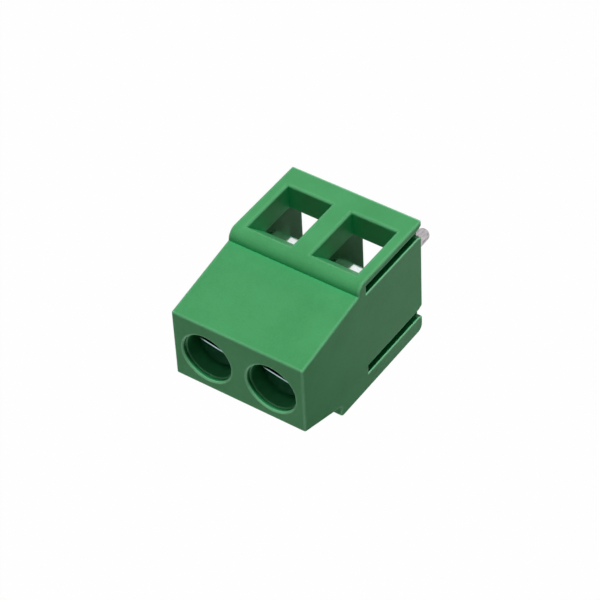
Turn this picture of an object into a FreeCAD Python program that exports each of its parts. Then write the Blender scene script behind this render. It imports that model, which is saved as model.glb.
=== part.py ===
import FreeCAD, Part
import math
import os

# Screw terminal block for a printed circuit board, with a rising cage clamp at each pole.
# Origin: middle of the pin row, on the board. X runs along the poles, Z away from the board,
# and the wires come in along +Y through the face that looks along -Y. Millimetres.
# A reach is a distance along Y from the pin row, to the front or to the back as its name says.

Vector = FreeCAD.Vector

# Poles
pole_count = 2
pole_pitch = 5.08
end_margin = 0.08

# Side profile of the housing. The brow is a quarter round, from the wire face in to the slope.
housing_height = 14.0
wire_face_reach = 5.76
brow_height = 6.68
brow_radius = 0.83
top_front_reach = 3.73
top_back_reach = 1.84
back_slope_reach = 3.16
back_slope_height = 9.84
rear_block_reach = 4.12
rear_foot_round = 0.55
edge_round = 0.16

# Grooves in both ends of the housing, open towards the board, for a neighbour's tongues
groove_depth = 0.45
groove_width = 0.78
groove_height = 6.65
groove_lead = 0.2
groove_lead_height = 0.45
groove_edge_round = 0.06
front_lip = 0.5
rear_groove_reach = 2.38

# Wire windows, each with a funnel that leads the wire down under the contact bar
window_side_ledge = 0.26
window_sill_height = 1.69
window_head_height = 6.57
window_front_round = 0.2
window_back_round = 0.08
front_wall = 2.05

# Clamp chambers, open towards the board
outer_wall = 0.6
partition = 0.86
roof_clearance = 0.25

# Clamping screws, which turn in the housing without travelling
screw_reach = 0.76
screw_side_clearance = 0.07
screw_tip_chamfer = 0.3
screw_tip_clearance = 0.1
neck_clearance = 0.1
head_radius = 1.75
head_height = 2.0
head_chamfer = 0.15
head_depth = 1.45
head_seat_clearance = 0.05
slot_width = 0.8
slot_depth = 0.95
slot_angle = -11.3

# Screwdriver bores, with a broken rim and a slight step inside the mouth
bore_clearance = 0.09
bore_step = 0.08
bore_step_depth = 0.35
bore_rim_chamfer = 0.08

# Contact bars, each one folded strip: bar through the cage, leg behind it, foot over the board
strip_thickness = 0.7
strip_bend = 0.3
bar_side_clearance = 0.22
bar_front_clearance = 0.2
leg_side_clearance = 0.03
leg_shoulder = 0.55
foot_width = 2.0
foot_length = 0.95
foot_clearance = 0.1

# Cages, each one strip folded into a loop with a double top plate
cage_sheet = 0.6
cage_bend = 0.3
cage_side_clearance = 0.1
cage_front_clearance = 0.4
cage_back_reach = 1.09
cage_travel = 2.4
cage_back_clearance = 0.12
thread_clearance = 0.05
fold_gap = 0.05
jaw_gap = 0.3
travel_reserve = 0.4
stake_reserve = 0.2

# Solder pins, each with a shoulder under the foot of its contact bar, and staked above it
pin_radius = 0.5
pin_shoulder = 0.2
pin_length = 4.55
pin_tip_round = 0.45
stake_radius = 0.55
stake_height = 0.2

# Sizes and places that follow from the ones above
housing_width = pole_count * pole_pitch + 2 * end_margin
front_groove_reach = wire_face_reach - front_lip - groove_width / 2
slope_foot_reach = wire_face_reach - brow_radius
slope_foot_height = brow_height + brow_radius
chamber_front = front_wall - wire_face_reach
chamber_half = pole_pitch / 2 - max(outer_wall - end_margin, partition / 2)
window_width = 2 * (chamber_half - window_side_ledge)
cage_width = 2 * (chamber_half - cage_side_clearance)
screw_radius = cage_width / 2 - cage_sheet - screw_side_clearance
cage_front = chamber_front + cage_front_clearance
bar_width = cage_width - 2 * (cage_sheet + bar_side_clearance)
foot_top = foot_clearance + strip_thickness
cage_lowest = foot_top + stake_height + stake_reserve
cage_bottom = cage_lowest + cage_travel
bar_bottom = cage_bottom + cage_sheet + jaw_gap
bar_top = bar_bottom + strip_thickness
top_plates = 2 * cage_sheet + fold_gap
cage_top = bar_top + cage_travel + travel_reserve + top_plates
leg_front = cage_back_reach + cage_back_clearance
leg_back = leg_front + strip_thickness
chamber_roof = cage_top + roof_clearance
head_top = housing_height - head_depth
head_bottom = head_top - head_height
bore_floor = head_bottom - head_seat_clearance
bore_radius = head_radius + bore_clearance
pin_neck_radius = pin_radius - pin_shoulder

# Length by which a cutting tool runs past the face that it opens
overrun = 1.0


def pole_places():
    """Places of the poles along X, evenly about the origin."""
    return [(number - (pole_count - 1) / 2) * pole_pitch for number in range(pole_count)]


def box(low, high):
    """Box between two corners."""
    size = Vector(*high) - Vector(*low)
    return Part.makeBox(size.x, size.y, size.z, Vector(*low))


def side_face(points):
    """Flat face in the YZ plane through points given as (y, z)."""
    corners = [Vector(0, y, z) for y, z in points]
    return Part.Face(Part.makePolygon(corners + corners[:1]))


def edges_between(solid, low, high):
    """Edges that lie within the box between two corners."""
    tight = 1e-6

    def inside(bounds):
        lows = zip(low, (bounds.XMin, bounds.YMin, bounds.ZMin))
        highs = zip(high, (bounds.XMax, bounds.YMax, bounds.ZMax))
        return all(limit - tight < value for limit, value in lows) and all(
            value < limit + tight for limit, value in highs)

    return [edge for edge in solid.Edges if inside(edge.BoundBox)]


def edges_along(solid, y, z):
    """Edges along X through the point (y, z) of the side profile."""
    half = housing_width / 2
    return edges_between(solid, (-half, y, z), (half, y, z))


def housing_block():
    """Outer form of the housing: one profile along X, with its brow, rear foot and edges rounded."""
    brow_centre = Vector(0, -slope_foot_reach, brow_height)
    brow_start = brow_centre + Vector(0, -brow_radius, 0)
    brow_middle = brow_centre + Vector(0, -1, 1).normalize() * brow_radius
    brow_end = brow_centre + Vector(0, 0, brow_radius)
    brow = Part.Arc(brow_start, brow_middle, brow_end).toShape()
    rest = Part.makePolygon([
        brow_end,
        Vector(0, -top_front_reach, housing_height),
        Vector(0, top_back_reach, housing_height),
        Vector(0, back_slope_reach, back_slope_height),
        Vector(0, rear_block_reach, back_slope_height),
        Vector(0, rear_block_reach, 0),
        Vector(0, -wire_face_reach, 0),
        brow_start,
    ])
    profile = Part.Face(Part.Wire([brow] + rest.Edges))
    block = profile.extrude(Vector(housing_width, 0, 0))
    block.translate(Vector(-housing_width / 2, 0, 0))
    block = block.makeFillet(rear_foot_round, edges_along(block, rear_block_reach, 0))
    return block.makeFillet(edge_round, soft_edges(block))


def soft_edges(block):
    """Outer edges that the mould rounds: all but those on the board and the two along the brow."""
    sharp = edges_along(block, -wire_face_reach, brow_height)
    sharp += edges_along(block, -slope_foot_reach, slope_foot_height)
    above = [edge for edge in block.Edges if edge.BoundBox.ZMax > edge_round]
    return [edge for edge in above if not any(edge.isSame(other) for other in sharp)]


def groove(end, reach):
    """Cutter for one groove in an end of the housing, flared where it opens to the board."""
    half = groove_width / 2
    mouth = half + groove_lead
    profile = [
        (reach - mouth, -overrun),
        (reach - mouth, 0),
        (reach - half, groove_lead_height),
        (reach - half, groove_height),
        (reach + half, groove_height),
        (reach + half, groove_lead_height),
        (reach + mouth, 0),
        (reach + mouth, -overrun),
    ]
    cutter = side_face(profile).extrude(Vector(groove_depth + overrun, 0, 0))
    outer = housing_width / 2
    start = outer - groove_depth if end > 0 else -outer - overrun
    cutter.translate(Vector(start, 0, 0))
    return cutter


def window(place):
    """Cutter for one wire window: straight at the sill, and a funnel that slopes in from above."""
    outside = -wire_face_reach - overrun
    slope = (window_head_height - bar_bottom) / front_wall
    profile = [
        (outside, window_sill_height),
        (outside, window_head_height + slope * overrun),
        (chamber_front, bar_bottom),
        (chamber_front + overrun, bar_bottom),
        (chamber_front + overrun, window_sill_height),
    ]
    cutter = side_face(profile).extrude(Vector(window_width, 0, 0))
    cutter.translate(Vector(place - window_width / 2, 0, 0))
    return cutter


def chamber_sides(place):
    """Low and high X of one chamber, each at half a partition or at the outer wall."""
    low = place - pole_pitch / 2 + partition / 2
    high = place + pole_pitch / 2 - partition / 2
    reach = housing_width / 2 - outer_wall
    return max(low, -reach), min(high, reach)


def chamber(place):
    """Cutter for one clamp chamber, from the board up to its roof."""
    low_x, high_x = chamber_sides(place)
    return box((low_x, chamber_front, -overrun), (high_x, leg_back, chamber_roof))


def screwdriver_bore(place):
    """Cutter for one screwdriver bore with its neck down into the chamber, turned about the screw."""
    mouth = bore_radius + bore_step
    rim = mouth + bore_rim_chamfer
    step_height = housing_height - bore_step_depth
    neck = screw_radius + neck_clearance
    profile = [
        (0, chamber_roof - overrun),
        (neck, chamber_roof - overrun),
        (neck, bore_floor),
        (bore_radius, bore_floor),
        (bore_radius, step_height),
        (mouth, step_height),
        (mouth, housing_height - bore_rim_chamfer),
        (rim, housing_height),
        (rim, housing_height + overrun),
        (0, housing_height + overrun),
    ]
    return turned(profile, place, -screw_reach)


def turned(profile, x, y):
    """Solid turned about an upright axis through (x, y) from a profile of (radius, z)."""
    corners = [Vector(radius, 0, z) for radius, z in profile]
    face = Part.Face(Part.makePolygon(corners + corners[:1]))
    solid = face.revolve(Vector(0, 0, 0), Vector(0, 0, 1), 360)
    solid.translate(Vector(x, y, 0))
    return solid


def make_housing():
    """Moulded housing, one piece."""
    cutters = []
    for place in pole_places():
        cutters += [window(place), chamber(place), screwdriver_bore(place)]
    for end in (-1, 1):
        cutters += [groove(end, -front_groove_reach), groove(end, rear_groove_reach)]
    housing = round_grooves(housing_block().cut(cutters).removeSplitter())
    housing = round_windows(housing, -wire_face_reach, window_front_round)
    return round_windows(housing, chamber_front, window_back_round)


def round_grooves(housing):
    """Housing with the grooves' edges rounded where they meet its ends."""
    half = groove_width / 2 + groove_lead
    edges = []
    for x in (-housing_width / 2, housing_width / 2):
        for reach in (-front_groove_reach, rear_groove_reach):
            edges += edges_between(housing, (x, reach - half, 0), (x, reach + half, groove_height))
    return housing.makeFillet(groove_edge_round, edges)


def round_windows(housing, y, radius):
    """Housing with the windows' edges in the plane at y rounded."""
    half = window_width / 2
    edges = []
    for place in pole_places():
        low = (place - half, y, window_sill_height)
        edges += edges_between(housing, low, (place + half, y, window_head_height))
    return housing.makeFillet(radius, edges)


def folded_strip(points, sheet, bend, normal):
    """Face of a sheet folded along a path of (across, z) points, seen edge on.

    The path is the middle of the sheet, bend is the inner radius of each fold, and normal is the
    axis along which the face looks: "X" for a path in the YZ plane, "Y" for one in the XZ plane.
    """
    middle = bend + sheet / 2

    def place(across, z):
        return Vector(0, across, z) if normal == "X" else Vector(across, 0, z)

    path = [place(*point) for point in points]
    runs = [(after - before).normalize() for before, after in zip(path, path[1:])]
    axis = Vector(1, 0, 0) if normal == "X" else Vector(0, -1, 0)
    lefts = [axis.cross(run) for run in runs]

    def outline(side):
        """Edges along one side of the sheet, from the first end to the last."""
        edges = []
        start = path[0] + lefts[0] * (side * sheet / 2)
        for number in range(1, len(path) - 1):
            turn = 1 if axis.dot(runs[number - 1].cross(runs[number])) > 0 else -1
            centre = path[number] + (lefts[number - 1] + lefts[number]) * (turn * middle)
            radius = middle - turn * side * sheet / 2
            first = centre - lefts[number - 1] * (turn * radius)
            last = centre - lefts[number] * (turn * radius)
            halfway = centre - (lefts[number - 1] + lefts[number]).normalize() * (turn * radius)
            edges.append(Part.makeLine(start, first))
            edges.append(Part.Arc(first, halfway, last).toShape())
            start = last
        end = path[-1] + lefts[-1] * (side * sheet / 2)
        edges.append(Part.makeLine(start, end))
        return edges, path[0] + lefts[0] * (side * sheet / 2), end

    left, left_start, left_end = outline(1)
    right, right_start, right_end = outline(-1)
    caps = [Part.makeLine(left_start, right_start), Part.makeLine(left_end, right_end)]
    return Part.Face(Part.Wire(Part.__sortEdges__(left + right + caps)))


def make_contact_bar(place):
    """Contact bar: a strip folded to a C, narrow at the bar and the foot and wide at the leg."""
    bar_front = chamber_front + bar_front_clearance
    bar_middle = bar_top - strip_thickness / 2
    leg_middle = leg_front + strip_thickness / 2
    foot_middle = foot_top - strip_thickness / 2
    path = [
        (bar_front, bar_middle),
        (leg_middle, bar_middle),
        (leg_middle, foot_middle),
        (-foot_length, foot_middle),
    ]
    leg_width = 2 * (chamber_half - leg_side_clearance)
    folded = folded_strip(path, strip_thickness, strip_bend, "X")
    strip = folded.extrude(Vector(leg_width, 0, 0))
    strip.translate(Vector(place - leg_width / 2, 0, 0))
    upper_shoulder = bar_bottom - leg_shoulder
    lower_shoulder = foot_top + leg_shoulder

    def stretch(width, front, low, high):
        """Part of the strip that keeps one width, from its front to the back of the leg."""
        return box((place - width / 2, front, low), (place + width / 2, leg_back, high))

    bar = stretch(bar_width, chamber_front, lower_shoulder, bar_top)
    leg = stretch(leg_width, leg_front, lower_shoulder, upper_shoulder)
    foot = stretch(foot_width, -foot_length, 0, lower_shoulder)
    hole = Part.makeCylinder(pin_neck_radius, foot_top + overrun, Vector(place, 0, -overrun / 2))
    return strip.common(bar.fuse([leg, foot])).cut(hole).removeSplitter()


def make_cage(place):
    """Clamping cage: a strip folded round into a loop, with two layers at the top for the thread."""
    half = (cage_width - cage_sheet) / 2
    bottom = cage_bottom + cage_sheet / 2
    upper = cage_top - cage_sheet / 2
    lower = upper - cage_sheet - fold_gap
    inner_end = -(cage_width / 2 - cage_sheet - cage_bend)
    path = [
        (inner_end, lower),
        (half, lower),
        (half, bottom),
        (-half, bottom),
        (-half, upper),
        (cage_width / 2, upper),
    ]
    cage_length = cage_back_reach - cage_front
    loop = folded_strip(path, cage_sheet, cage_bend, "Y").extrude(Vector(0, cage_length, 0))
    loop.translate(Vector(place, cage_front, 0))
    reach_down = top_plates + cage_bend
    start = Vector(place, -screw_reach, cage_top - reach_down)
    thread = Part.makeCylinder(screw_radius + thread_clearance, reach_down + overrun, start)
    return loop.cut(thread)


def make_screw(place):
    """Clamping screw with a slotted cylinder head; its body is at the thread's outer radius."""
    tip = bar_top + screw_tip_clearance
    profile = [
        (0, tip),
        (screw_radius - screw_tip_chamfer, tip),
        (screw_radius, tip + screw_tip_chamfer),
        (screw_radius, head_bottom),
        (head_radius - head_chamfer, head_bottom),
        (head_radius, head_bottom + head_chamfer),
        (head_radius, head_top - head_chamfer),
        (head_radius - head_chamfer, head_top),
        (0, head_top),
    ]
    screw = turned(profile, place, -screw_reach)
    across = head_radius + overrun
    slot_floor = head_top - slot_depth
    slot = box((-across, -slot_width / 2, slot_floor), (across, slot_width / 2, head_top + overrun))
    slot.rotate(Vector(0, 0, 0), Vector(0, 0, 1), slot_angle)
    slot.translate(Vector(place, -screw_reach, 0))
    return screw.cut(slot)


def make_pin(place):
    """Round solder pin: rounded tip below, shoulder under the foot, staked head above it."""
    tip_flat = pin_radius - pin_tip_round
    corner = pin_tip_round * (1 - math.sqrt(0.5))
    stake_rim = foot_top + stake_height / 2
    bottom = Part.makeLine(Vector(0, 0, -pin_length), Vector(tip_flat, 0, -pin_length))
    tip = Part.Arc(
        Vector(tip_flat, 0, -pin_length),
        Vector(pin_radius - corner, 0, -pin_length + corner),
        Vector(pin_radius, 0, -pin_length + pin_tip_round),
    ).toShape()
    rest = Part.makePolygon([
        Vector(pin_radius, 0, -pin_length + pin_tip_round),
        Vector(pin_radius, 0, foot_clearance),
        Vector(pin_neck_radius, 0, foot_clearance),
        Vector(pin_neck_radius, 0, foot_top),
        Vector(stake_radius, 0, foot_top),
        Vector(stake_radius, 0, stake_rim),
        Vector(pin_neck_radius, 0, foot_top + stake_height),
        Vector(0, 0, foot_top + stake_height),
        Vector(0, 0, -pin_length),
    ])
    face = Part.Face(Part.Wire([bottom, tip] + rest.Edges))
    pin = face.revolve(Vector(0, 0, 0), Vector(0, 0, 1), 360)
    pin.translate(Vector(place, 0, 0))
    return pin


def sub_parts():
    """Every piece of the terminal by its name."""
    pieces = {"housing": make_housing()}
    for number, place in enumerate(pole_places(), start=1):
        pieces[f"clamp_screw_{number}"] = make_screw(place)
        pieces[f"clamp_cage_{number}"] = make_cage(place)
        pieces[f"contact_bar_{number}"] = make_contact_bar(place)
        pieces[f"solder_pin_{number}"] = make_pin(place)
    return pieces


os.makedirs("parts", exist_ok=True)
for name, shape in sub_parts().items():
    print(name, "solids", len(shape.Solids), "valid", shape.isValid(), "volume", round(shape.Volume, 3))
    for solid in shape.Solids:
        solid.exportStep(f"parts/{name}.step")
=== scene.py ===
import bmesh
import bpy
import math
from mathutils import Matrix, Quaternion, Vector


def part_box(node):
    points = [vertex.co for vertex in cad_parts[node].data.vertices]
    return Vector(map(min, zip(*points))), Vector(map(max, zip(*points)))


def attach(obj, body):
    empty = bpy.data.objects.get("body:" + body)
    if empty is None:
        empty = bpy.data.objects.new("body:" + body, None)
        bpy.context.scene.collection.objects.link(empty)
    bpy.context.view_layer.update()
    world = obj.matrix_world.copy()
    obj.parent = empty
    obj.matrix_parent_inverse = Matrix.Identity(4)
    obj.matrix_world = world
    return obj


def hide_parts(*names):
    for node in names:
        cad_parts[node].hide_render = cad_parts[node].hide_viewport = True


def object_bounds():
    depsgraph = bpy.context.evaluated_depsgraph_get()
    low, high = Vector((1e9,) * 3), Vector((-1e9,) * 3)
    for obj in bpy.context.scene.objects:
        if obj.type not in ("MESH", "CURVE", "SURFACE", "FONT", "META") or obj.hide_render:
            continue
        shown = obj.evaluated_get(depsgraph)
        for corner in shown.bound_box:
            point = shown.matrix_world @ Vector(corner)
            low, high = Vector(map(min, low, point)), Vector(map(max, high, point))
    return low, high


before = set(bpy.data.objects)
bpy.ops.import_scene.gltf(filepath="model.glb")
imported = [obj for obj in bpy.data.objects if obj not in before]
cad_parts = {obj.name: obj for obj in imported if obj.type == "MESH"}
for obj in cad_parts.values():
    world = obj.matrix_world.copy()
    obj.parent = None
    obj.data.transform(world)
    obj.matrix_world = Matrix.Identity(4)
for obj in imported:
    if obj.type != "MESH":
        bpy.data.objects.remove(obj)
cad_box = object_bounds()

# Two-pole screw terminal block on a white ground. Lengths are in metres unless a name ends in _MM.
# +Z points away from the board, X runs along the poles, and the wires enter along +Y.
MM = 0.001

# Camera of the photograph: where the eye stands about the block, and its turn about the line of sight
EYE_AZIMUTH = -31.5873
EYE_ELEVATION = 35.2289
EYE_ROLL = -136.3466
EYE_DISTANCE = 179.637 * MM
LOOK_AT = Vector((-0.1392, -1.7856, 7.0643)) * MM
LENS_MM = 163.83
SENSOR_MM = 36.0
CLIP_FACTOR = 100

# Screws: the thread runs from the point to the neck, and the slot lies as in the photograph
SCREW_SIDES = 72
SCREW_RADIUS = 1.25 * MM
THREAD_PITCH = 0.45 * MM
THREAD_DEPTH = 0.24 * MM
THREAD_CREST = 0.2
THREAD_START = 0.35 * MM
THREAD_LEAD = 0.4
THREAD_RUNOUT = 0.9 * MM
THREAD_ROWS_A_TURN = 10
HEAD_HEIGHT = 2.0 * MM
HEAD_CHAMFER = 0.15 * MM
POINT_CHAMFER = 0.3 * MM
SLOT_WIDTH = 0.8 * MM
SLOT_DEPTH = 0.95 * MM
SLOT_ANGLE = -11.3
SLOT_EDGE = 0.05 * MM
SAME_PLACE = 0.001 * MM
SHARP_ANGLE = 35

# Housing plastic: greens along the sum of its flow marks, clouds and grain
FLOW_MM = 3.0
CLOUD_MM = 0.5
GRAIN_MM = 0.09
CLOUD_IN_TONE = 0.35
GRAIN_IN_TONE = 1.2
CLOUD_IN_RELIEF = 0.5
TONE_SCALE = 0.5
HOUSING_GREENS = [
    (0.42, (0.056, 0.285, 0.099)),
    (0.64, (0.067, 0.322, 0.118)),
    (0.86, (0.079, 0.362, 0.138)),
]
HOUSING_ROUGHNESS = (0.42, 0.52)
HOUSING_SPECULAR = 0.18
HOUSING_RELIEF_MM = 0.014

# Housing by place: outer edges are paler, partly by wear and partly by a painted highlight, and hollows
# are darkened by painted shade. The bores, above BORES_FROM_MM, take the painted shade sooner than the
# windows and grooves below. A pair of numbers is where a change begins and ends.
OPENNESS_RAYS = 8
# Paler green on outer edges: partly wear, partly a painted highlight
EDGE_MM = 0.12
EDGE_STEP = (0.87, 0.98)
EDGE_WEAR_AND_HIGHLIGHT_GREEN = (0.2, 0.52, 0.28)
# Painted shade: the green is darkened in hollows, and in the bores, by how open the surface is
HOLLOW_MM = 2.4
HOLLOW_STEP = (0.4, 1.0)
HOLLOW_SHADE_GREENS = [(0.2, (0.006, 0.1, 0.026)), (0.6, (0.014, 0.40, 0.13))]
BORE_STEP = (0.78, 0.99)
BORE_SHADE_GREEN = (0.006, 0.18, 0.058)
BORES_FROM_MM = (8.5, 9.5)

# Plated strips: rolling streaks along Y on the cages, and along Z on the bars and pins
STREAK_MM = 0.12
STAIN_MM = 0.6
STAIN_SHARE = 0.6
CAGE_TONES = [(0.5, (0.78, 0.84, 0.84)), (1.0, (0.93, 0.97, 0.97))]
CAGE_ROUGHNESS = (0.04, 0.12)
CAGE_STREAKS = (1, 0.08, 1)
CAGE_RELIEF_MM = 0.0005
TIN_TONES = [(0.5, (0.2, 0.18, 0.19)), (1.0, (0.6, 0.565, 0.585))]
TIN_ROUGHNESS = (0.12, 0.25)
TIN_STREAKS = (1, 1, 0.15)
TIN_RELIEF_MM = 0.002

# Screw steel: turning rings under a thin blue plating
RINGS_SCALE = 4.0
RINGS_DISTORTION = 1.5
RINGS_DETAIL = 2.0
RINGS_RELIEF_MM = 0.001
SCREW_TONES = [(0.3, (0.27, 0.39, 0.4)), (0.7, (0.42, 0.54, 0.55))]
SCREW_ROUGHNESS = (0.1, 0.2)

# Light on the object: the block lies on its back in the photograph, so the light overhead comes from
# -Y here, and the white ground shines from +Y. Both grow towards +Z, and a fill comes from +X.
SKY_LIGHT = 0.4
GROUND_LIGHT = 3.8
FILL_LIGHT = 1.4
SIDE_LIGHT = 0.03
LOBE_POWER = 8.0
LOBE_RISE = 4.8
KEY_DIRECTION = (-0.13, -1.0, 0.08)
KEY_DISTANCE = 0.5
KEY_SIZE = 0.04
KEY_POWER = 2.18

# Dark ceiling in the white surroundings: the Z and Y of the direction at which it begins and is full
CEILING_ABOVE = (-0.02, 0.25)
CEILING_BEHIND = (-0.25, 0.05)

# Ground: white where the camera sees it. Gloss sees it dimmer outwards, and dark in the block's shade.
GROUND_SIZE = 1.2
GROUND_COLOUR = (0.3, 0.3, 0.3)
GROUND_ROUGHNESS = 0.9
GROUND_GLOW = 0.99
POOL_FALL = (12 * MM, 32 * MM)
POOL_EDGE = 0.3
SHADE_AT = Vector((-2.0, 7.5, 0.0)) * MM
SHADE_FALL = (2.5 * MM, 6 * MM)


def add_object(name, data):
    """A new object of the scene."""
    piece = bpy.data.objects.new(name, data)
    bpy.context.scene.collection.objects.link(piece)
    return piece


def new_material(name):
    """A new node-based material, with its nodes, its links and its shader."""
    material = bpy.data.materials.new(name)
    material.use_nodes = True
    tree = material.node_tree
    return material, tree.nodes, tree.links, tree.nodes["Principled BSDF"]


def math_node(nodes, links, operation, *values):
    """Result of one sum; each value is a number or the output of another node."""
    node = nodes.new("ShaderNodeMath")
    node.operation = operation
    for socket, value in zip(node.inputs, values):
        if isinstance(value, (int, float)):
            socket.default_value = value
        else:
            links.new(value, socket)
    return node.outputs["Value"]


def added(nodes, links, first, second, share):
    """First value plus a share of the second."""
    return math_node(nodes, links, "MULTIPLY_ADD", second, share, first)


def spread(nodes, links, value, low, high):
    """Value from 0 to 1 spread between low and high."""
    node = nodes.new("ShaderNodeMapRange")
    node.inputs["To Min"].default_value = low
    node.inputs["To Max"].default_value = high
    links.new(value, node.inputs["Value"])
    return node.outputs["Result"]


def between(nodes, links, value, start, end):
    """0 up to start and 1 from end on, with a soft step between them."""
    node = nodes.new("ShaderNodeMapRange")
    node.interpolation_type = "SMOOTHSTEP"
    node.inputs["From Min"].default_value = start
    node.inputs["From Max"].default_value = end
    links.new(value, node.inputs["Value"])
    return node.outputs["Result"]


def axes_of(nodes, links, vector):
    """The X, Y and Z of a vector, as outputs that go by those names."""
    node = nodes.new("ShaderNodeSeparateXYZ")
    links.new(vector, node.inputs["Vector"])
    return node.outputs


def distance(nodes, links, place, centre):
    """How far a place is from a centre."""
    node = nodes.new("ShaderNodeVectorMath")
    node.operation = "DISTANCE"
    node.inputs[1].default_value = centre
    links.new(place, node.inputs[0])
    return node.outputs["Value"]


def ramp(nodes, links, value, stops):
    """Colours along a value from 0 to 1."""
    node = nodes.new("ShaderNodeValToRGB")
    elements = node.color_ramp.elements
    while len(elements) < len(stops):
        elements.new(0.5)
    for element, (position, colour) in zip(elements, stops):
        element.position = position
        element.color = (*colour, 1)
    links.new(value, node.inputs["Fac"])
    return node.outputs["Color"]


def blended(nodes, links, share, first, second):
    """First colour, changed into the second by share; a colour is a triple or a node's output."""
    node = nodes.new("ShaderNodeMix")
    node.data_type = "RGBA"
    links.new(share, node.inputs["Factor"])
    sockets = [socket for socket in node.inputs if socket.type == "RGBA"]
    for socket, colour in zip(sockets, (first, second)):
        if isinstance(colour, tuple):
            socket.default_value = (*colour, 1)
        else:
            links.new(colour, socket)
    return next(socket for socket in node.outputs if socket.type == "RGBA")


def place_in_mm(nodes, links, scale=(1, 1, 1)):
    """Object coordinates in millimetres, times scale."""
    coordinates = nodes.new("ShaderNodeTexCoord")
    mapping = nodes.new("ShaderNodeMapping")
    mapping.inputs["Scale"].default_value = [factor / MM for factor in scale]
    links.new(coordinates.outputs["Object"], mapping.inputs["Vector"])
    return mapping.outputs["Vector"]


def noise(nodes, links, place, size, detail=3.0, roughness=0.5):
    """Soft noise whose blotches are about size millimetres across."""
    texture = nodes.new("ShaderNodeTexNoise")
    texture.inputs["Scale"].default_value = 1 / size
    texture.inputs["Detail"].default_value = detail
    texture.inputs["Roughness"].default_value = roughness
    links.new(place, texture.inputs["Vector"])
    return texture.outputs["Fac"]


def openness(nodes, links, reach_mm, inside):
    """1 in the open and less in hollows of reach_mm; with inside, less on outer edges that sharp."""
    node = nodes.new("ShaderNodeAmbientOcclusion")
    node.samples = OPENNESS_RAYS
    node.inside = inside
    node.only_local = True
    node.inputs["Distance"].default_value = reach_mm * MM
    return node.outputs["AO"]


def bump(nodes, links, shader, height, depth_mm):
    """Relief of depth_mm where the height goes from 0 to 1."""
    node = nodes.new("ShaderNodeBump")
    node.inputs["Strength"].default_value = 1.0
    node.inputs["Distance"].default_value = depth_mm * MM
    links.new(height, node.inputs["Height"])
    links.new(node.outputs["Normal"], shader.inputs["Normal"])


def green_with_painted_light(nodes, links, place, green):
    """The housing's green, darkened by painted shade in hollows and bores, and paler on outer edges,
    partly by wear and partly by a painted highlight.
    """
    # Painted shade: the green deepens where the housing is less open, more so in the bores
    hollow = openness(nodes, links, HOLLOW_MM, inside=False)
    painted_hollow_shade = ramp(nodes, links, hollow, HOLLOW_SHADE_GREENS)
    open_share = between(nodes, links, hollow, *HOLLOW_STEP)
    lower_shaded_green = blended(nodes, links, open_share, painted_hollow_shade, green)
    bore_share = between(nodes, links, hollow, *BORE_STEP)
    upper_shaded_green = blended(nodes, links, bore_share, BORE_SHADE_GREEN, green)
    above = between(nodes, links, axes_of(nodes, links, place)["Z"], *BORES_FROM_MM)
    green = blended(nodes, links, above, lower_shaded_green, upper_shaded_green)
    # Paler outer edges: partly wear, partly a painted highlight
    edge = openness(nodes, links, EDGE_MM, inside=True)
    flat_share = between(nodes, links, edge, *EDGE_STEP)
    return blended(nodes, links, flat_share, EDGE_WEAR_AND_HIGHLIGHT_GREEN, green)


def housing_plastic():
    """Green polyamide from a fine spark-eroded mould: satin, with slight flow marks."""
    material, nodes, links, shader = new_material("housing_plastic")
    place = place_in_mm(nodes, links)
    flow = noise(nodes, links, place, FLOW_MM, detail=2.0)
    cloud = noise(nodes, links, place, CLOUD_MM)
    grain = noise(nodes, links, place, GRAIN_MM, roughness=0.6)
    tone = added(nodes, links, flow, cloud, CLOUD_IN_TONE)
    tone = added(nodes, links, tone, grain, GRAIN_IN_TONE)
    tone = math_node(nodes, links, "MULTIPLY", tone, TONE_SCALE)
    green = green_with_painted_light(nodes, links, place, ramp(nodes, links, tone, HOUSING_GREENS))
    links.new(green, shader.inputs["Base Color"])
    links.new(spread(nodes, links, cloud, *HOUSING_ROUGHNESS), shader.inputs["Roughness"])
    shader.inputs["Specular IOR Level"].default_value = HOUSING_SPECULAR
    bump(nodes, links, shader, added(nodes, links, grain, cloud, CLOUD_IN_RELIEF), HOUSING_RELIEF_MM)
    return material


def plated_metal(name, tones, roughness, streaks, relief_mm):
    """Plated sheet metal with rolling streaks, drawn out along the axis whose streaks are under 1."""
    material, nodes, links, shader = new_material(name)
    rolling = noise(nodes, links, place_in_mm(nodes, links, streaks), STREAK_MM, detail=4.0)
    stains = noise(nodes, links, place_in_mm(nodes, links), STAIN_MM)
    tone = added(nodes, links, rolling, stains, STAIN_SHARE)
    links.new(ramp(nodes, links, tone, tones), shader.inputs["Base Color"])
    links.new(spread(nodes, links, stains, *roughness), shader.inputs["Roughness"])
    shader.inputs["Metallic"].default_value = 1.0
    bump(nodes, links, shader, rolling, relief_mm)
    return material


def cage_steel():
    """Bright nickel-plated strip of the clamping cages."""
    return plated_metal("cage_steel", CAGE_TONES, CAGE_ROUGHNESS, CAGE_STREAKS, CAGE_RELIEF_MM)


def tinned_brass():
    """Duller tin-plated brass of the contact bars and the solder pins."""
    return plated_metal("tinned_brass", TIN_TONES, TIN_ROUGHNESS, TIN_STREAKS, TIN_RELIEF_MM)


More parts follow.
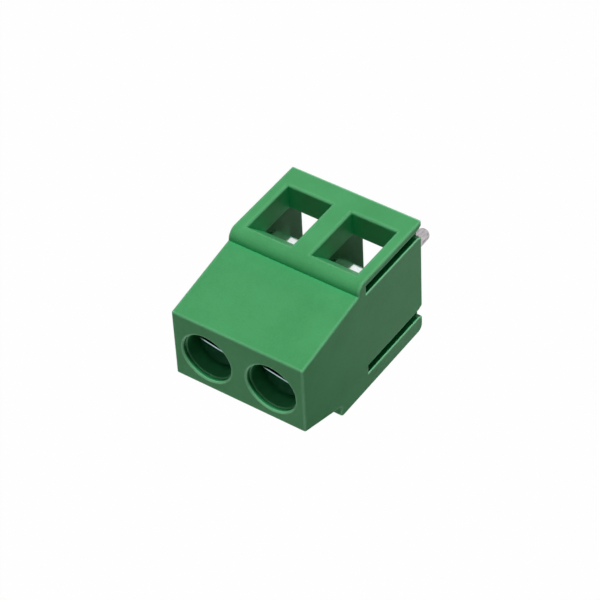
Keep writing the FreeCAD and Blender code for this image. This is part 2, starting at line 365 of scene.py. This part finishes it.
def screw_steel():
    """Blue zinc-plated steel with fine turning rings about the screw's own axis."""
    material, nodes, links, shader = new_material("screw_steel")
    place = place_in_mm(nodes, links)
    rings = nodes.new("ShaderNodeTexWave")
    rings.wave_type = "RINGS"
    rings.rings_direction = "Z"
    rings.inputs["Scale"].default_value = RINGS_SCALE
    rings.inputs["Distortion"].default_value = RINGS_DISTORTION
    rings.inputs["Detail"].default_value = RINGS_DETAIL
    links.new(place, rings.inputs["Vector"])
    clouds = noise(nodes, links, place, CLOUD_MM)
    links.new(ramp(nodes, links, clouds, SCREW_TONES), shader.inputs["Base Color"])
    links.new(spread(nodes, links, clouds, *SCREW_ROUGHNESS), shader.inputs["Roughness"])
    shader.inputs["Metallic"].default_value = 1.0
    bump(nodes, links, shader, rings.outputs["Fac"], RINGS_RELIEF_MM)
    return material


def dress(names, material):
    """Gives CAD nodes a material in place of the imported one."""
    for name in names:
        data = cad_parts[name].data
        data.materials.clear()
        data.materials.append(material)


def held(value):
    """Value held between 0 and 1."""
    return min(1.0, max(0.0, value))


def thread_radius(turn, height, length):
    """Radius at a share of a turn and a height above the point: crests are flat, and both ends fade."""
    phase = (height / THREAD_PITCH - turn) % 1.0
    valley = 1 - abs(2 * phase - 1)
    depth = THREAD_DEPTH * max(0.0, valley * (1 + THREAD_CREST) - THREAD_CREST)
    start = held(height / THREAD_START - THREAD_LEAD)
    end = held((length - height) / THREAD_RUNOUT)
    return SCREW_RADIUS - depth * start * end


def screw_rows(length, head_radius):
    """Heights and radii of the screw, from its point up; a radius of None is the thread's."""
    rows = [(0.0, SCREW_RADIUS - POINT_CHAMFER)]
    steps = math.ceil((length - POINT_CHAMFER) / THREAD_PITCH * THREAD_ROWS_A_TURN)
    for step in range(steps + 1):
        rows.append((POINT_CHAMFER + (length - POINT_CHAMFER) * step / steps, None))
    top = length + HEAD_HEIGHT
    rows += [
        (length, head_radius - HEAD_CHAMFER),
        (length + HEAD_CHAMFER, head_radius),
        (top - HEAD_CHAMFER, head_radius),
        (top, head_radius - HEAD_CHAMFER),
    ]
    return rows


def screw_body(length, head_radius):
    """Turned screw with its thread, standing on the origin, as a closed mesh."""
    body = bmesh.new()
    rings = []
    for height, radius in screw_rows(length, head_radius):
        ring = []
        for side in range(SCREW_SIDES):
            turn = side / SCREW_SIDES
            reach = thread_radius(turn, height, length) if radius is None else radius
            angle = 2 * math.pi * turn
            ring.append(body.verts.new((reach * math.cos(angle), reach * math.sin(angle), height)))
        rings.append(ring)
    for lower, upper in zip(rings, rings[1:]):
        for side in range(SCREW_SIDES):
            after = (side + 1) % SCREW_SIDES
            body.faces.new((lower[side], lower[after], upper[after], upper[side]))
    body.faces.new(list(reversed(rings[0])))
    body.faces.new(rings[-1])
    mesh = bpy.data.meshes.new("screw")
    body.to_mesh(mesh)
    body.free()
    return mesh


def cut_slot(screw, top, head_radius):
    """Cuts the driver's slot across the head, with a longer bar whose middle lies at the top."""
    cutter_mesh = bpy.data.meshes.new("slot_cutter")
    cutter = bmesh.new()
    size = Matrix.Diagonal((4 * head_radius, SLOT_WIDTH, 2 * SLOT_DEPTH, 1))
    turn = Matrix.Rotation(math.radians(SLOT_ANGLE), 4, "Z")
    bmesh.ops.create_cube(cutter, size=1, matrix=Matrix.Translation((0, 0, top)) @ turn @ size)
    cutter.to_mesh(cutter_mesh)
    cutter.free()
    cutter_object = add_object("slot_cutter", cutter_mesh)
    modifier = screw.modifiers.new("slot", "BOOLEAN")
    modifier.operation = "DIFFERENCE"
    modifier.solver = "EXACT"
    modifier.object = cutter_object
    bpy.context.view_layer.update()
    graph = bpy.context.evaluated_depsgraph_get()
    cut = bpy.data.meshes.new_from_object(screw.evaluated_get(graph))
    screw.modifiers.clear()
    screw.data = cut
    bpy.data.objects.remove(cutter_object)


def break_slot_edges(screw, top):
    """Small chamfer along the two long edges of the slot."""
    mesh = bmesh.new()
    mesh.from_mesh(screw.data)
    turn = Matrix.Rotation(math.radians(-SLOT_ANGLE), 4, "Z")

    def on_edge(vertex):
        """Whether a vertex lies where a long side of the slot meets the top."""
        place = turn @ vertex.co
        return abs(abs(place.y) - SLOT_WIDTH / 2) < SAME_PLACE and abs(place.z - top) < SAME_PLACE

    edges = [edge for edge in mesh.edges if all(on_edge(vertex) for vertex in edge.verts)]
    bmesh.ops.bevel(mesh, geom=edges, offset=SLOT_EDGE, segments=1, affect="EDGES")
    mesh.to_mesh(screw.data)
    mesh.free()


def make_screw(number, material):
    """Threaded screw in the place of its plain solid."""
    node = f"clamp_screw_{number}"
    low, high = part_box(node)
    head_radius = (high.x - low.x) / 2
    length = high.z - low.z - HEAD_HEIGHT
    top = length + HEAD_HEIGHT
    screw = add_object(f"threaded_screw_{number}", screw_body(length, head_radius))
    cut_slot(screw, top, head_radius)
    break_slot_edges(screw, top)
    screw.data.materials.clear()
    screw.data.materials.append(material)
    screw.data.shade_smooth()
    screw.data.set_sharp_from_angle(angle=math.radians(SHARP_ANGLE))
    screw.location = ((low.x + high.x) / 2, (low.y + high.y) / 2, low.z)
    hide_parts(node)
    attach(screw, f"screw_{number}")


def make_camera():
    """Camera at the photograph's angle."""
    azimuth = math.radians(EYE_AZIMUTH)
    elevation = math.radians(EYE_ELEVATION)
    back = Vector((
        math.sin(azimuth) * math.cos(elevation),
        -math.cos(azimuth) * math.cos(elevation),
        math.sin(elevation),
    ))
    camera = add_object("camera", bpy.data.cameras.new("camera"))
    camera.data.sensor_width = SENSOR_MM
    camera.data.lens = LENS_MM
    camera.data.clip_start = EYE_DISTANCE / CLIP_FACTOR
    camera.data.clip_end = EYE_DISTANCE * CLIP_FACTOR
    camera.location = LOOK_AT + back * EYE_DISTANCE
    camera.rotation_mode = "QUATERNION"
    roll = Quaternion((0, 0, 1), math.radians(EYE_ROLL))
    camera.rotation_quaternion = (-back).to_track_quat("-Z", "Y") @ roll
    bpy.context.scene.camera = camera


def seen_ray(nodes, links):
    """1 for rays that show the background: from the camera, or by gloss or glass."""
    path = nodes.new("ShaderNodeLightPath")
    value = path.outputs["Is Camera Ray"]
    for name in ("Is Glossy Ray", "Is Transmission Ray"):
        value = math_node(nodes, links, "MAXIMUM", value, path.outputs[name])
    return value


def show(nodes, links, share, lit, seen, output):
    """Sends the lit shader to the output, changed into the seen one by share."""
    mix = nodes.new("ShaderNodeMixShader")
    links.new(share, mix.inputs["Fac"])
    links.new(lit, mix.inputs[1])
    links.new(seen, mix.inputs[2])
    links.new(mix.outputs["Shader"], nodes[output].inputs["Surface"])


def pool(nodes, links):
    """Strength of the ground where it is seen: white for the camera, and for gloss a painted pool of
    light, dimmer outwards, with a painted shadow of the block.
    """
    place = nodes.new("ShaderNodeTexCoord").outputs["Object"]
    # Painted pool of light, seen only in gloss: the glow fades away from the block
    fall = between(nodes, links, distance(nodes, links, place, (0, 0, 0)), *POOL_FALL)
    lit = spread(nodes, links, fall, 1.0, POOL_EDGE)
    # Painted shadow of the block in the glow, seen only in gloss
    outside = between(nodes, links, distance(nodes, links, place, SHADE_AT), *SHADE_FALL)
    lit = math_node(nodes, links, "MULTIPLY", lit, outside)
    path = nodes.new("ShaderNodeLightPath")
    return math_node(nodes, links, "MAXIMUM", lit, path.outputs["Is Camera Ray"])


def white_ground():
    """Ground that glows white where it is seen, and otherwise throws light back as a plain grey."""
    material, nodes, links, shader = new_material("white_ground")
    shader.inputs["Base Color"].default_value = (*GROUND_COLOUR, 1)
    shader.inputs["Roughness"].default_value = GROUND_ROUGHNESS
    shader.inputs["Specular IOR Level"].default_value = 0.0
    glow = nodes.new("ShaderNodeEmission")
    links.new(pool(nodes, links), glow.inputs["Strength"])
    share = math_node(nodes, links, "MULTIPLY", seen_ray(nodes, links), GROUND_GLOW)
    show(nodes, links, share, shader.outputs["BSDF"], glow.outputs["Emission"], "Material Output")
    return material


def make_floor(height):
    """Plain white ground under the pins, which keeps a pale shadow."""
    half = GROUND_SIZE / 2
    mesh = bpy.data.meshes.new("floor")
    corners = [(-half, -half, 0), (half, -half, 0), (half, half, 0), (-half, half, 0)]
    mesh.from_pydata(corners, [], [(0, 1, 2, 3)])
    mesh.materials.append(white_ground())
    floor = add_object("floor", mesh)
    floor.location.z = height


def lobes(nodes, links):
    """Strength of the world's light: from -Y and +Y, some from +X, and little from all round them."""
    way = axes_of(nodes, links, nodes.new("ShaderNodeTexCoord").outputs["Generated"])
    narrow = math_node(nodes, links, "ABSOLUTE", way["Y"])
    narrow = math_node(nodes, links, "POWER", narrow, LOBE_POWER)
    ground_side = math_node(nodes, links, "GREATER_THAN", way["Y"], 0.0)
    strength = added(nodes, links, SKY_LIGHT, ground_side, GROUND_LIGHT - SKY_LIGHT)
    upward = math_node(nodes, links, "MAXIMUM", way["Z"], 0.0)
    rise = added(nodes, links, 1.0, upward, LOBE_RISE)
    lobe = math_node(nodes, links, "MULTIPLY", narrow, strength)
    lobe = math_node(nodes, links, "MULTIPLY", lobe, rise)
    fill = math_node(nodes, links, "MAXIMUM", way["X"], 0.0)
    fill = math_node(nodes, links, "POWER", fill, LOBE_POWER)
    fill = math_node(nodes, links, "MULTIPLY", fill, FILL_LIGHT)
    lobe = math_node(nodes, links, "MAXIMUM", lobe, fill)
    return math_node(nodes, links, "MAXIMUM", lobe, SIDE_LIGHT)


def surroundings(nodes, links):
    """Strength of what is seen of the world: white, but for a dark ceiling above and behind."""
    way = axes_of(nodes, links, nodes.new("ShaderNodeTexCoord").outputs["Generated"])
    above = between(nodes, links, way["Z"], *CEILING_ABOVE)
    behind = between(nodes, links, way["Y"], *CEILING_BEHIND)
    ceiling = math_node(nodes, links, "MULTIPLY", above, behind)
    return math_node(nodes, links, "SUBTRACT", 1.0, ceiling)


def make_world():
    """White surroundings where they are seen, and the light of the photograph's room on the object."""
    world = bpy.data.worlds.new("studio")
    bpy.context.scene.world = world
    world.use_nodes = True
    nodes, links = world.node_tree.nodes, world.node_tree.links
    light = nodes["Background"]
    seen = nodes.new("ShaderNodeBackground")
    for background, strength in ((light, lobes), (seen, surroundings)):
        background.inputs["Color"].default_value = (1, 1, 1, 1)
        links.new(strength(nodes, links), background.inputs["Strength"])
    share = seen_ray(nodes, links)
    show(nodes, links, share, light.outputs["Background"], seen.outputs["Background"], "World Output")


def make_key_light():
    """Square soft lamp that looks at the middle of the block, without a glare of its own in gloss."""
    data = bpy.data.lights.new("key", "AREA")
    data.shape = "SQUARE"
    data.size = KEY_SIZE
    data.energy = KEY_POWER
    light = add_object("key", data)
    towards = Vector(KEY_DIRECTION).normalized()
    light.location = LOOK_AT + towards * KEY_DISTANCE
    light.rotation_mode = "QUATERNION"
    light.rotation_quaternion = (-towards).to_track_quat("-Z", "Y")
    light.visible_glossy = False


def main():
    """Finishes on the block's pieces, threaded screws, camera, ground and light."""
    dress(["housing"], housing_plastic())
    cage = cage_steel()
    tin = tinned_brass()
    steel = screw_steel()
    for number in (1, 2):
        dress([f"clamp_cage_{number}"], cage)
        dress([f"contact_bar_{number}", f"solder_pin_{number}"], tin)
        make_screw(number, steel)
    make_camera()
    make_world()
    make_floor(cad_box[0].z)
    make_key_light()
    bpy.context.scene.view_settings.view_transform = "Standard"


main()
bpy.context.view_layer.update()
